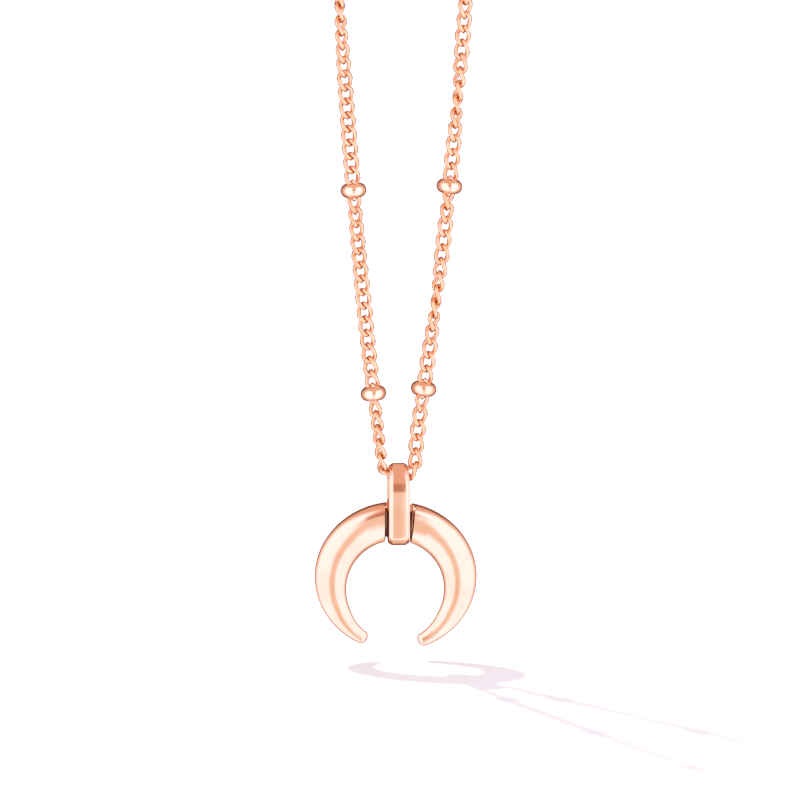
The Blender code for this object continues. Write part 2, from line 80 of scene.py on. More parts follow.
BEAD_RADIUS = 1.60
BEAD_HALF_LENGTH = 0.90
BEAD_BORE = 0.62
BEAD_MOUTH_DEPTH = 0.40
BEAD_LIP = math.radians(80.0)
BEAD_EYE_HALF_WIDTH = 0.32
BEAD_PROFILE_POINTS = 25
BEAD_SOFT_EDGE = 0.06
TOP_LINKS = 6                     # from the topmost beads to the end links

END_LINK_HALF_WIDTH = 0.80
END_LINK_WIRE = 0.24
JUMP_RING_RADIUS = 1.60
JUMP_RING_WIRE = 0.25
RING_PLAY = 0.15

BAIL_HALF_WIDTH = 1.30
BAIL_CROWN_HALF_WIDTH = 1.17
BAIL_DEPTH = 4.80
BAIL_STRAP = 0.85
BAIL_TOP = 2.00
BAIL_BOTTOM = -8.30
BAIL_BEVEL_WIDTH = 0.48
BAIL_BEVEL_DEPTH = 0.30
BAIL_CROWN_RISE = 3.75            # height of the oval bend over the chain
BAIL_FOOT_RISE = 1.50             # height of the tighter bend under the neck
BAIL_STATIONS = 61
BAIL_SOFT_EDGE = 0.05

NECK_HEIGHT = -5.90
NECK_BELOW = 1.42
NECK_ABOVE = 2.70
NECK_HALF_DEPTH = 1.12
CRESCENT_TILT = math.radians(3.0)
HORN_OUTER_CENTRE = -6.39
HORN_OUTER_HALF_WIDTH = 10.12
HORN_OUTER_HALF_HEIGHT = 9.40
HORN_INNER_CENTRE = -7.99
HORN_INNER_RADIUS = 6.12
HORN_INNER_FLARE = 0.35
HORN_FLARE_START = math.radians(120.0)
HORN_FLARE_SPAN = math.radians(38.0)
HORN_SHOULDER = math.radians(9.9)
HORN_INNER_SHOULDER = math.radians(9.0)
HORN_LEAN_FADE = math.radians(35.0)
HORN_END = math.radians(159.4)
HORN_TIP_SPAN = math.radians(4.0)
HORN_TIP_CLOSE = math.radians(88.0)
HORN_SIDES = 72
HORN_STATIONS = 110
HORN_TIP_STATIONS = 12
SHOULDER_BEVEL = 0.20
PLAIN_NECK = (0.0, 0.7, 1.15)     # rings of the neck, by distance from the middle
FLARED_NECK = (1.42, 1.46, 1.50, 1.54, 1.58)
FLARE_START = 1.42
FLARE_SPAN = 0.18
SHOULDER_TOP = 1.73
SHOULDER_BOTTOM = 1.55
NOTCH_TOP = 1.90                  # above the neck's axis; the horns run on over it
HORN_HALF_DEPTH = 1.70
HORN_TIP_HALF_DEPTH = 0.55
# where the crest stands across the horn, from -1 at the inner edge to 1 at the outer one
HORN_CREST = [(0.0, 0.40), (0.45, 0.30), (0.80, 0.12), (1.57, -0.10), (2.10, -0.16), (2.50, 0.05),
              (2.77, 0.30)]

# places on the clasp are (along, across) from the middle of its tail
CLASP_PIVOT = (2.75, 0.30)
CLASP_PIN_RADIUS = 0.25
CLASP_PIN_HALF_LENGTH = 1.0
CLASP_TAIL_RADIUS = 1.22
CLASP_CLAW_PLACE = 6.7
CLASP_CLAW_RADIUS = 2.40
CLASP_THIN = 0.40                 # half thickness round the eyes
CLASP_THICKENING = 0.45           # more than that over the trigger
CLASP_TAIL_HOLE = 0.62
CLASP_CLAW_HOLE = (5.0, 0.9, CLASP_CLAW_PLACE, 1.32)   # two middles, each with its radius
CLASP_SLOT = (1.34, 4.6, -3.5, 3.5)                    # low and high along, then across
CLASP_SLOT_HALF_WIDTH = 0.42
CLASP_MOUTH = (3.6, 5.85, 0.37, 3.5)
CUTTER_REACH = 2.0
PIN_BEVEL = 0.04
LEVER_PATH = [(2.60, -2.75), (2.66, -1.9), (2.70, -0.9), (2.78, 0.1),
              (3.05, 0.85), (3.75, 1.42), (4.6, 1.68), (5.45, 1.76)]
LEVER_HALF_WIDTHS = [0.42, 0.46, 0.50, 0.62, 0.60, 0.46, 0.42, 0.36]
LEVER_HALF_THICKNESS = 0.35
BOW_PATH = [(1.66, -0.55), (1.80, -0.20), (1.86, 0.20), (1.80, 0.60), (1.66, 0.95)]
BOW_WIRE = 0.10

# ---- sockets as numbers ------------------------------------------------------------------
# places of sockets which share a name with others on the same node
MIX_FACTOR, MIX_COLOUR_A, MIX_COLOUR_B = 0, 6, 7
MIX_COLOUR_OUT = 2
ATTRIBUTE_FAC = 2
OBJECT_COORDINATES = 3            # this and the next are outputs of a Texture Coordinate node
WORLD_DIRECTION = 0


class Socket:
    """One socket of a node tree, which takes part in ordinary arithmetic."""

    def __init__(self, tree, socket=None):
        self.tree = tree
        self.socket = socket

    def node(self, kind, settings=None, inputs=None, out=0):
        """Any node: its type, its settings, then its inputs; one of its outputs comes back."""
        made = self.tree.nodes.new(kind)
        for name, value in (settings or {}).items():
            setattr(made, name, value)
        for key, value in (inputs or {}).items():
            if isinstance(value, Socket):
                self.tree.links.new(value.socket, made.inputs[key])
            else:
                made.inputs[key].default_value = value
        return Socket(self.tree, made.outputs[out])

    def math(self, operation, *values):
        return self.node("ShaderNodeMath", {"operation": operation}, dict(enumerate(values)))

    def vector(self, operation, *values, out=0):
        return self.node("ShaderNodeVectorMath", {"operation": operation}, dict(enumerate(values)), out)

    def blend(self, first, second):
        """A colour that runs from first to second as this value runs from 0 to 1."""
        settings = {"data_type": "RGBA", "clamp_factor": True}
        inputs = {MIX_FACTOR: self, MIX_COLOUR_A: first, MIX_COLOUR_B: second}
        return self.node("ShaderNodeMix", settings, inputs, MIX_COLOUR_OUT)

    def band(self, low, high):
        """0 below low and 1 above high, with a soft rise between."""
        settings = {"interpolation_type": "SMOOTHSTEP"}
        return self.node("ShaderNodeMapRange", settings, {0: self, 1: low, 2: high})

    def __add__(self, other):
        return self.math("ADD", self, other)

    def __radd__(self, other):
        return self.math("ADD", other, self)

    def __sub__(self, other):
        return self.math("SUBTRACT", self, other)

    def __rsub__(self, other):
        return self.math("SUBTRACT", other, self)

    def __mul__(self, other):
        return self.math("MULTIPLY", self, other)

    def __rmul__(self, other):
        return self.math("MULTIPLY", other, self)

    def __truediv__(self, other):
        return self.math("DIVIDE", self, other)

    def __rtruediv__(self, other):
        return self.math("DIVIDE", other, self)


# ---- finishes ----------------------------------------------------------------------------
# sizes of the patterns, in cycles to the metre, and depths of the relief in metres
CLOUD_SCALE = 260.0
GRAIN_SCALE = 9000.0
WIRE_GRAIN_SCALE = 12000.0
SWELL_SCALE = 420.0
POLISHING_SCALE = (14000.0, 900.0, 1800.0)
POLISHING_TURN = (0.3, 0.5, 0.2)
SWELL_DEPTH = 6e-5
SCRATCH_DEPTH = 2e-6
# painted shade: the near-black tone laid on the neck where it sits inside the bail
PAINTED_RECESS_SHADE = (0.10, 0.035, 0.02, 1.0)
RECESS_DULLNESS = 0.25


def gold(name, light, deep, roughness, scratch, waviness=0.0):
    """Polished rose-gold plate: cloudy colour, fine polishing lines, and painted shade in recesses: a
    near-black tone with duller roughness.

    scratch is the strength of the polishing lines, and waviness that of the hand-polished swell.
    """
    material = bpy.data.materials.new(name)
    material.use_nodes = True
    tree = material.node_tree
    shader = tree.nodes["Principled BSDF"]
    shader.inputs["Metallic"].default_value = 1.0
    start = Socket(tree)
    place = start.node("ShaderNodeTexCoord", out=OBJECT_COORDINATES)
    cloud = start.node("ShaderNodeTexNoise", {}, {"Vector": place, "Scale": CLOUD_SCALE, "Detail": 3.0})
    grain = start.node("ShaderNodeTexNoise", {}, {"Vector": place, "Scale": GRAIN_SCALE, "Detail": 2.0})
    turned = start.node("ShaderNodeMapping", {}, {"Vector": place, "Rotation": POLISHING_TURN,
                                                  "Scale": POLISHING_SCALE})
    lines = start.node("ShaderNodeTexNoise", {}, {"Vector": turned, "Scale": 1.0, "Detail": 2.0})
    worn = cloud.band(0.35, 0.65)
    wear = roughness + 0.05 * (worn - 0.5) + 0.04 * (grain - 0.5) + 0.03 * lines.band(0.6, 0.7)
    # the recess attribute paints shade into the base colour and also dulls the roughness there
    shade_and_dull_mask = start.node("ShaderNodeAttribute", {"attribute_name": "painted_shade_recess"}, out=ATTRIBUTE_FAC)
    tone = shade_and_dull_mask.blend(worn.blend((*deep, 1.0), (*light, 1.0)), PAINTED_RECESS_SHADE)
    tree.links.new(tone.socket, shader.inputs["Base Color"])
    tree.links.new((wear + RECESS_DULLNESS * shade_and_dull_mask).socket, shader.inputs["Roughness"])
    swell = start.node("ShaderNodeTexNoise", {}, {"Vector": place, "Scale": SWELL_SCALE, "Detail": 1.0})
    waves = start.node("ShaderNodeBump", {}, {"Strength": waviness, "Distance": SWELL_DEPTH,
                                              "Height": swell})
    relief = 0.6 * lines + 0.4 * grain
    bump = start.node("ShaderNodeBump", {}, {"Strength": scratch, "Distance": SCRATCH_DEPTH,
                                             "Height": relief, "Normal": waves})
    tree.links.new(bump.socket, shader.inputs["Normal"])
    return material


def spring_steel():
    """Bright drawn wire, with a fine grain."""
    material = bpy.data.materials.new("bright_spring_wire")
    material.use_nodes = True
    tree = material.node_tree
    shader = tree.nodes["Principled BSDF"]
    shader.inputs["Metallic"].default_value = 1.0
    start = Socket(tree)
    place = start.node("ShaderNodeTexCoord", out=OBJECT_COORDINATES)
    grain = start.node("ShaderNodeTexNoise", {}, {"Vector": place, "Scale": WIRE_GRAIN_SCALE,
                                                  "Detail": 2.0})
    tone = grain.blend((0.52, 0.52, 0.54, 1.0), (0.70, 0.70, 0.72, 1.0))
    tree.links.new(tone.socket, shader.inputs["Base Color"])
    tree.links.new((0.18 + 0.10 * grain).socket, shader.inputs["Roughness"])
    return material


# ---- studio ------------------------------------------------------------------------------
WHITE = (1.0, 1.0, 1.0, 1.0)
NEAR_WALLS = (1.45, 1.43, 1.68, 1.0)
FAR_WALLS = (0.84, 0.56, 0.43, 1.0)
FRONT_STRIP = (1.00, 0.81, 0.71, 1.0)
OVER_LENS = (0.90, 0.54, 0.41, 1.0)
LENS = (0.62, 0.30, 0.22, 1.0)
CEILING = (0.90, 0.53, 0.41, 1.0)
GROUND = (0.98, 0.72, 0.60, 1.0)
BACK = (0.28, 0.11, 0.07, 1.0)


def light_tent():
    """White walls all round, with a warm darker strip in front where the lens looks in.

    Only what the metal mirrors has these colours; to the lens and to the paper all is white.
    """
    world = bpy.data.worlds.new("light_tent")
    world.use_nodes = True
    bpy.context.scene.world = world
    tree = world.node_tree
    start = Socket(tree)
    rays = tree.nodes.new("ShaderNodeLightPath")
    seen = Socket(tree, rays.outputs["Is Camera Ray"])
    soft = Socket(tree, rays.outputs["Is Diffuse Ray"])
    facing = start.node("ShaderNodeTexCoord", out=WORLD_DIRECTION)
    parts = tree.nodes.new("ShaderNodeSeparateXYZ")
    tree.links.new(facing.socket, parts.inputs[0])
    x, y, z = (Socket(tree, output) for output in parts.outputs)
    off_axis = start.math("ABSOLUTE", start.math("ARCTAN2", x, -1.0 * y))
    lift = start.math("ARCSINE", z)

    def rise(value, low, high):
        return value.band(math.radians(low), math.radians(high))

    # each region runs from 0 to 1 between two angles, in degrees off the front or above level
    level = rise(lift, -60.0, -40.0) * (1.0 - rise(lift, 30.0, 55.0))
    back = rise(off_axis, 110.0, 150.0) * level
    strip = 1.0 - rise(off_axis, 4.0, 15.0)
    over = (1.0 - rise(off_axis, 8.0, 24.0)) * rise(lift, -2.0, 14.0)
    lens = strip * rise(lift, -2.0, 3.0) * (1.0 - rise(lift, 16.0, 26.0))
    shine = rise(off_axis, 60.0, 115.0).blend(NEAR_WALLS, FAR_WALLS)
    shine = (strip * rise(lift, -62.0, -40.0)).blend(shine, FRONT_STRIP)
    shine = over.blend(shine, OVER_LENS)
    shine = lens.blend(shine, LENS)
    shine = rise(lift, 35.0, 65.0).blend(shine, CEILING)
    shine = (1.0 - rise(lift, -80.0, -60.0)).blend(shine, GROUND)
    shine = back.blend(shine, BACK)
    plain = (seen + soft).blend(shine, WHITE)
    tree.links.new(plain.socket, tree.nodes["Background"].inputs["Color"])
    tree.nodes["Background"].inputs["Strength"].default_value = 1.0


PAPER_HALF_WIDTH = 2.0            # in metres
PAPER_TONE = (0.92, 0.845, 0.90, 1.0)


def floor_sheet(height):
    """A plain pale sheet under the pendant."""
    half = PAPER_HALF_WIDTH
    mesh = bpy.data.meshes.new("paper_floor")
    corners = [(-half, -half), (half, -half), (half, half), (-half, half)]
    mesh.from_pydata([(x, y, height) for x, y in corners], [], [(0, 1, 2, 3)])
    material = bpy.data.materials.new("pale_paper")
    material.use_nodes = True
    shader = material.node_tree.nodes["Principled BSDF"]
    shader.inputs["Base Color"].default_value = PAPER_TONE
    shader.inputs["Roughness"].default_value = 1.0
    shader.inputs["Specular IOR Level"].default_value = 0.0
    mesh.materials.append(material)
    floor = bpy.data.objects.new("paper_floor", mesh)
    bpy.context.scene.collection.objects.link(floor)
    floor.visible_glossy = False


SENSOR_WIDTH = 36.0               # in millimetres


def lamp(direction, strength, spread):
    """A distant lamp whose light travels in a direction."""
    light = bpy.data.lights.new("window", "SUN")
    light.energy = strength
    light.angle = math.radians(spread)
    obj = bpy.data.objects.new("window", light)
    obj.rotation_euler = Vector(direction).to_track_quat("-Z", "Y").to_euler()
    obj.visible_glossy = False
    bpy.context.scene.collection.objects.link(obj)


def long_lens(middle, azimuth, elevation, distance, field):
    """A camera whose picture is a field wide at the middle point."""
    lens = bpy.data.cameras.new("long_lens")
    lens.sensor_width = SENSOR_WIDTH
    lens.lens = lens.sensor_width * distance / field
    lens.clip_start = 0.01
    lens.clip_end = 20.0
    turn = math.radians(azimuth)
    lift = math.radians(elevation)
    away = Vector((math.sin(turn), -math.cos(turn), 0.0)) * math.cos(lift)
    away.z = math.sin(lift)
    obj = bpy.data.objects.new("long_lens", lens)
    obj.location = Vector(middle) + away * distance
    obj.rotation_euler = (-away).to_track_quat("-Z", "Y").to_euler()
    bpy.context.scene.collection.objects.link(obj)
    bpy.context.scene.camera = obj


# ---- shapes ------------------------------------------------------------------------------
def smooth_step(value):
    value = min(max(value, 0.0), 1.0)
    return value * value * (3.0 - 2.0 * value)


def bridge(rings, closed=False):
    """Faces between rings of equal length; an open run of rings gets a cap at each end."""
    sides = len(rings[0])
    count = len(rings)
    faces = []
    for i in range(count if closed else count - 1):
        for j in range(sides):
            here = i * sides
            there = ((i + 1) % count) * sides
            k = (j + 1) % sides
            faces.append((here + j, here + k, there + k, there + j))
    if not closed:
        faces.append(tuple(range(sides)))
        faces.append(tuple((count - 1) * sides + j for j in range(sides)))
    return [Vector(point) for ring in rings for point in ring], faces


def oval(centre, across, depth, sides):
    """A ring of points; across and depth are its two half axes as vectors."""
    ring = []
    for j in range(sides):
        turn = 2.0 * math.pi * (j + 0.5) / sides
        ring.append(centre + across * math.cos(turn) + depth * math.sin(turn))
    return ring


def wire_loop(points, radius, sides, towards):
    """A closed round wire; towards gives the side direction of the wire at each point."""
    rings = []
    count = len(points)
    for i, point in enumerate(points):
        along = (points[(i + 1) % count] - points[i - 1]).normalized()
        side = (towards[i] - along * towards[i].dot(along)).normalized()
        rings.append(oval(point, side * radius, along.cross(side) * radius, sides))
    return bridge(rings, closed=True)


def wire_run(points, widths, depths, sides, depth_axis):
    """An open bar along a flat path, with rounded-off ends."""
    rings = []
    last = len(points) - 1
    for i, point in enumerate(points):
        along = (points[min(i + 1, last)] - points[max(i - 1, 0)]).normalized()
        across = along.cross(depth_axis).normalized()
        rings.append(oval(point, across * widths[i], depth_axis * depths[i], sides))
    return bridge(rings)


def together(shapes):
    """Several (verts, faces) shapes as one."""
    verts = []
    faces = []
    for shape_verts, shape_faces in shapes:
        base = len(verts)
        verts.extend(shape_verts)
        faces.extend(tuple(base + i for i in face) for face in shape_faces)
    return verts, faces


def softened(outline, radius, steps=3):
    """A closed outline whose corners are each rounded off a little; points are (x, y)."""
    count = len(outline)
    out = []
    for i, corner in enumerate(outline):
        here = Vector(corner)
        before = (Vector(outline[i - 1]) - here)
        after = (Vector(outline[(i + 1) % count]) - here)
        start = here + before.normalized() * min(radius, 0.45 * before.length)
        end = here + after.normalized() * min(radius, 0.45 * after.length)
        for k in range(steps + 1):
            t = k / steps
            point = start * (1 - t) ** 2 + here * 2 * t * (1 - t) + end * t ** 2
            out.append((point.x, point.y))
    return out


def finished(name, verts, faces, material, body, slot, replaces, smooth_angle=None):
    """A closed mesh in metres which rides on its body and stands for its CAD nodes."""
    mesh = bpy.data.meshes.new(name)
    mesh.from_pydata([Vector(v) for v in verts], [], faces)
    return finished_mesh(name, mesh, material, body, replaces, smooth_angle)


def finished_mesh(name, mesh, material, body, replaces, smooth_angle=None):
    work = bmesh.new()
    work.from_mesh(mesh)
    bmesh.ops.recalc_face_normals(work, faces=work.faces)
    work.to_mesh(mesh)
    work.free()
    mesh.transform(Matrix.Scale(TO_METRES, 4))
    mesh.shade_smooth()
    if smooth_angle is not None:
        mesh.set_sharp_from_angle(angle=math.radians(smooth_angle))
    mesh.materials.clear()
    mesh.materials.append(material)
    obj = bpy.data.objects.new(name, mesh)
    bpy.context.scene.collection.objects.link(obj)
    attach(obj, body)
    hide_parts(*replaces)
    return obj


# ---- route of the chain ------------------------------------------------------------------
def half_gap(side, height):
    """Distance from the middle line to a strand at a height above the datum line."""
    _, start, spread, reach, near = STRANDS[side]
    reach_out = start + spread * math.log(1.0 + height / reach)
    return (near ** 4 + reach_out ** 4) ** 0.25


ARC_MIDDLE = 0.5 * (half_gap("right", PEG_START_HEIGHT) - half_gap("left", PEG_START_HEIGHT))
ARC_RADIUS = 0.5 * (half_gap("right", PEG_START_HEIGHT) + half_gap("left", PEG_START_HEIGHT))
CLASP_HALF_ANGLE = math.asin(0.5 * CLASP_SPAN / ARC_RADIUS)
DATUM = CROWN_DROP - PEG_START_HEIGHT - ARC_RADIUS * math.cos(CLASP_HALF_ANGLE)


class Strand:
    """One side of the chain, from the foot of the loop to its jump ring at the clasp."""

    def __init__(self, side):
        sign = STRANDS[side][0]
        join = FOOT_HEIGHT + FOOT_RISE
        foot_width = half_gap(side, join)
        power = 2.0 / FOOT_SQUARENESS
        points = []
        for turn in np.linspace(0.0, 0.5 * math.pi, FOOT_SAMPLES, endpoint=False):
            points.append((sign * foot_width * math.sin(turn) ** power,
                           join - FOOT_RISE * math.cos(turn) ** power))
        for height in np.linspace(join, PEG_START_HEIGHT, STRAND_SAMPLES, endpoint=False):
            points.append((sign * half_gap(side, height), height))
        for turn in np.linspace(0.0, 0.5 * math.pi - CLASP_HALF_ANGLE, ARC_SAMPLES):
            points.append((ARC_MIDDLE + sign * ARC_RADIUS * math.cos(turn),
                           PEG_START_HEIGHT + ARC_RADIUS * math.sin(turn)))
        self.points = np.array(points)
        steps = np.hypot(*np.diff(self.points, axis=0).T)
        self.run = np.concatenate([[0.0], np.cumsum(steps)])
        self.length = float(self.run[-1])

    def at(self, along):
        """The point at a distance along the chain from its foot."""
        out = np.interp(along, self.run, self.points[:, 0])
        height = np.interp(along, self.run, self.points[:, 1])
        return Vector((out, 0.0, DATUM + height))

    def heading(self, along, reach=0.2):
        """Which way the strand runs at a distance along it."""
        return (self.at(along + reach) - self.at(along - reach)).normalized()


SIDES = {"left": Strand("left"), "right": Strand("right")}


def bead_place(side, station):
    """Distance along the strand to the middle of a bead; station 1 is the lowest."""
    return FIRST_BEAD[side] + (station - 1) * STATION


# ---- chain links -------------------------------------------------------------------------
def link_loop(half_width, twist, pitch=LINK_PITCH, steps=LINK_STEPS, sides=LINK_SIDES):
    """A twisted oval of round wire round the origin, its long axis along Z."""
    half_length = 0.5 * pitch + WIRE
    points = []
    towards = []
    for i in range(steps):
        turn = 2.0 * math.pi * (i + 0.5) / steps
        c, s = math.cos(turn), math.sin(turn)
        out = half_width * math.copysign(abs(c) ** (2.0 / LINK_SQUARENESS), c)
        rise = half_length * math.copysign(abs(s) ** (2.0 / LINK_SQUARENESS), s)
        lean = 0.5 * twist * rise / half_length
        points.append(Vector((out * math.cos(lean), out * math.sin(lean), rise)))
        towards.append(Vector((-math.sin(lean), math.cos(lean), 0.0)))
    return wire_loop(points, WIRE, sides, towards)


def chain_tree():
    """Lays one link on every piece of a route between two contacts of the links."""
    tree = bpy.data.node_groups.new("curb_chain", "GeometryNodeTree")
    face = tree.interface
    face.new_socket("Route", in_out="INPUT", socket_type="NodeSocketGeometry")
    for name, kind in (("Link", "Object"), ("Links", "Int"), ("Wander", "Float"),
                       ("Seed", "Int"), ("Finish", "Material")):
        face.new_socket(name, in_out="INPUT", socket_type="NodeSocket" + kind)
    face.new_socket("Chain", in_out="OUTPUT", socket_type="NodeSocketGeometry")
    given = tree.nodes.new("NodeGroupInput")
    route, link, links, wander, seed, finish = (Socket(tree, s) for s in given.outputs[:6])

    start = Socket(tree)
    curve = start.node("GeometryNodeMeshToCurve", {}, {"Mesh": route})
    contacts = start.node("GeometryNodeResampleCurve", {"mode": "COUNT"},
                          {"Curve": curve, "Count": links + 1.0})
    rods = start.node("GeometryNodeCurveToMesh", {}, {"Curve": contacts})
    low = start.node("GeometryNodeInputMeshEdgeVertices", out="Position 1")
    high = start.node("GeometryNodeInputMeshEdgeVertices", out="Position 2")
    along = start.vector("SUBTRACT", high, low)
    upright = start.node("FunctionNodeAlignRotationToVector", {"axis": "Z"}, {"Vector": along})
    facing = start.node("FunctionNodeAlignRotationToVector", {"axis": "Y", "pivot_axis": "Z"},
                        {"Rotation": upright, "Vector": tuple(DEPTH)})
    turn = start.node("GeometryNodeInputNamedAttribute", {"data_type": "FLOAT"}, {"Name": "turn"})
    stray = start.node("FunctionNodeRandomValue", {"data_type": "FLOAT"},
                       {2: -1.0, 3: 1.0, "Seed": seed}, 1)
    spin = start.node("FunctionNodeAxisAngleToRotation", {},
                      {"Axis": (0.0, 0.0, 1.0), "Angle": turn + stray * wander})
    pose = start.node("FunctionNodeRotateRotation", {"rotation_space": "LOCAL"},
                      {"Rotation": facing, "Rotate By": spin})
    posed = start.node("GeometryNodeStoreNamedAttribute", {"data_type": "QUATERNION", "domain": "EDGE"},
                       {"Geometry": rods, "Name": "pose", "Value": pose})
    middles = start.node("GeometryNodeMeshToPoints", {"mode": "EDGES"}, {"Mesh": posed})
    kept = start.node("GeometryNodeInputNamedAttribute", {"data_type": "QUATERNION"}, {"Name": "pose"})
    shape = start.node("GeometryNodeObjectInfo", {}, {"Object": link}, "Geometry")
    laid = start.node("GeometryNodeInstanceOnPoints", {},
                      {"Points": middles, "Instance": shape, "Rotation": kept})
    real = start.node("GeometryNodeRealizeInstances", {}, {"Geometry": laid})
    plated = start.node("GeometryNodeSetMaterial", {}, {"Geometry": real, "Material": finish})
    result = tree.nodes.new("NodeGroupOutput")
    tree.links.new(plated.socket, result.inputs[0])
    return tree


def laid_links(name, routes, tree, link, count, finish, wander=math.radians(2.0), seed=7):
    """The plain mesh of the links along some routes; a route is a list of (point, turn)."""
    verts = []
    edges = []
    turns = []
    for route in routes:
        base = len(verts)
        verts.extend(point for point, _ in route)
        turns.extend(turn for _, turn in route)
        edges.extend((base + i, base + i + 1) for i in range(len(route) - 1))
    mesh = bpy.data.meshes.new(name + "_route")
    mesh.from_pydata(verts, edges, [])
    mesh.attributes.new("turn", "FLOAT", "POINT").data.foreach_set("value", turns)
    obj = bpy.data.objects.new(name + "_route", mesh)
    bpy.context.scene.collection.objects.link(obj)
    modifier = obj.modifiers.new("curb_chain", "NODES")
    modifier.node_group = tree
    values = {"Link": link, "Links": count, "Wander": wander, "Seed": seed, "Finish": finish}
    for item in tree.interface.items_tree:
        if item.item_type == "SOCKET" and item.name in values:
            modifier[item.identifier] = values[item.name]
    graph = bpy.context.evaluated_depsgraph_get()
    made = bpy.data.meshes.new_from_object(obj.evaluated_get(graph), depsgraph=graph)
    obj.modifiers.remove(modifier)
    bpy.data.objects.remove(obj, do_unlink=True)
    return made


TOP_TURN_RATE = math.radians(8.0)          # how far each link is turned past the one below it
LEFT_TURN_RATE = math.radians(6.0)
RIGHT_TURN_RATE = math.radians(20.5)
SECOND_SPAN_BEND = math.radians(0.7)       # the left strand's second span turns faster and faster
SWAG_LEFT_RATE = math.radians(7.0)
SWAG_RIGHT_RATE = math.radians(20.0)


def face_turn(side, station, step):
    """How far a link is turned about the strand; step counts links up from the bead below."""
    if station == BEADS_PER_SIDE:
        return TOP_TURN_RATE * (step - TOP_LINKS) - 0.5 * LINK_TWIST
    if side == "right":
        return RIGHT_TURN_RATE * (step - 2.3)
    if station == 2:
        return SECOND_SPAN_BEND * max(step - 2.5, 0.0) ** 2
    return LEFT_TURN_RATE * (step - 7.0)


def swag_turn(step):
    """The same for the links between the lowest beads, counted from the left one."""
    beyond_bail = step - 0.5 * SWAG_LINKS
    rate = SWAG_RIGHT_RATE if beyond_bail > 0.0 else SWAG_LEFT_RATE
    return 0.5 * math.pi + rate * beyond_bail


SWAG_PITCH = (bead_place("left", 1) + bead_place("right", 1) - LINK_PITCH) / SWAG_LINKS


def span_route(side, station, count):
    """Contacts of the links above a bead, as points along the strand with each one's turn."""
    start = bead_place(side, station) + 0.5 * LINK_PITCH
    points = []
    for step in np.linspace(0.0, count, 10 * count + 1):
        place = SIDES[side].at(start + step * LINK_PITCH)
        points.append((place, face_turn(side, station, step + 0.5)))
    return points


def swag_route():
    """Contacts of the links from the left bead, through the bail, to the right bead."""
    start = 0.5 * LINK_PITCH - bead_place("left", 1)
    points = []
    for step in np.linspace(0.0, SWAG_LINKS, 20 * SWAG_LINKS + 1):
        along = start + step * SWAG_PITCH
        side = "left" if along < 0.0 else "right"
        points.append((SIDES[side].at(abs(along)), swag_turn(step + 0.5)))
    return points


def hidden(name, verts, faces):
    """A mesh object that only serves as the model for copies."""
    mesh = bpy.data.meshes.new(name)
    mesh.from_pydata([Vector(v) for v in verts], [], faces)
    obj = bpy.data.objects.new(name, mesh)
    bpy.context.scene.collection.objects.link(obj)
    return obj


def body_of(station):
    return "root" if station == BEADS_PER_SIDE else f"span_{station}"


def chain_pieces(finish):
    """The links of every span, one piece for each body."""
    link = hidden("curb_link", *link_loop(LINK_HALF_WIDTH, LINK_TWIST))
    tree = chain_tree()
    for station in range(1, BEADS_PER_SIDE + 1):
        count = TOP_LINKS if station == BEADS_PER_SIDE else LINKS_PER_STATION - 1
        routes = [span_route(side, station, count) for side in SIDES]
        mesh = laid_links(f"links_{station}", routes, tree, link, count, finish, seed=station)
        nodes = [f"chain_{side}_{station}" for side in SIDES]
        finished_mesh(f"links_{station}", mesh, finish, body_of(station), nodes)
    longer = hidden("longer_link", *link_loop(LINK_HALF_WIDTH, LINK_TWIST, SWAG_PITCH))
    mesh = laid_links("links_swag", [swag_route()], tree, longer, SWAG_LINKS, finish)
    finished_mesh("links_swag", mesh, finish, "swag", ["chain_centre"])
    bpy.data.objects.remove(link, do_unlink=True)
    bpy.data.objects.remove(longer, do_unlink=True)


# ---- beads -------------------------------------------------------------------------------
def bead_outline():
    """Half of a turned rondelle's section, as (distance from the axis, rise) pairs."""
    ring = BEAD_RADIUS - BEAD_HALF_LENGTH
    outline = []
    for lean in np.linspace(-BEAD_LIP, BEAD_LIP, BEAD_PROFILE_POINTS):
        outline.append((ring + BEAD_HALF_LENGTH * math.cos(lean), BEAD_HALF_LENGTH * math.sin(lean)))
    mouth = BEAD_HALF_LENGTH - BEAD_MOUTH_DEPTH
    edge = outline[-1][0]
    outline += [(edge - BEAD_SOFT_EDGE, BEAD_HALF_LENGTH - 0.5 * BEAD_SOFT_EDGE),
                (BEAD_BORE + 0.04, mouth + BEAD_SOFT_EDGE), (BEAD_BORE, mouth - 0.05)]
    outline += [(radius, -rise) for radius, rise in reversed(outline[-3:])]
    return outline


def turned(outline, middle, axis, steps=40):
    """A shape turned about an axis, from its outline."""
    across = axis.cross(DEPTH)
    rings = []
    for i in range(steps):
        turn = 2.0 * math.pi * i / steps
        out = across * math.cos(turn) + DEPTH * math.sin(turn)
        rings.append([middle + out * radius + axis * rise for radius, rise in outline])
    return bridge(rings, closed=True)


def bead_eye(side, station):
    """The narrow link through a bead, whose ends stand square to the links that it joins."""
    above = face_turn(side, station, 1.0)
    if station > 1:
        below = face_turn(side, station - 1, LINKS_PER_STATION - 1.0)
    else:
        below = swag_turn(SWAG_LINKS) if side == "right" else -swag_turn(1.0)
    along = bead_place(side, station)
    middle = SIDES[side].at(along)
    upright = SIDES[side].heading(along)
    across = DEPTH.cross(upright)
    turn = Matrix.Rotation(0.5 * (above + below), 3, "Z")
    verts, faces = link_loop(BEAD_EYE_HALF_WIDTH, above - below - math.pi - LINK_TWIST)
    stand = Matrix((across, DEPTH, upright)).transposed()
    return [middle + stand @ (turn @ v) for v in verts], faces


def bead_pieces(finish):
    """The beads and their narrow links, one piece for each body."""
    for station in range(1, BEADS_PER_SIDE + 1):
        shapes = []
        for side in SIDES:
            along = bead_place(side, station)
            middle = SIDES[side].at(along)
            shapes.append(turned(bead_outline(), middle, SIDES[side].heading(along)))
            shapes.append(bead_eye(side, station))
        nodes = [f"bead_{side}_{station}" for side in SIDES]
        finished(f"beads_{station}", *together(shapes), finish, body_of(station), "bead_gold", nodes)


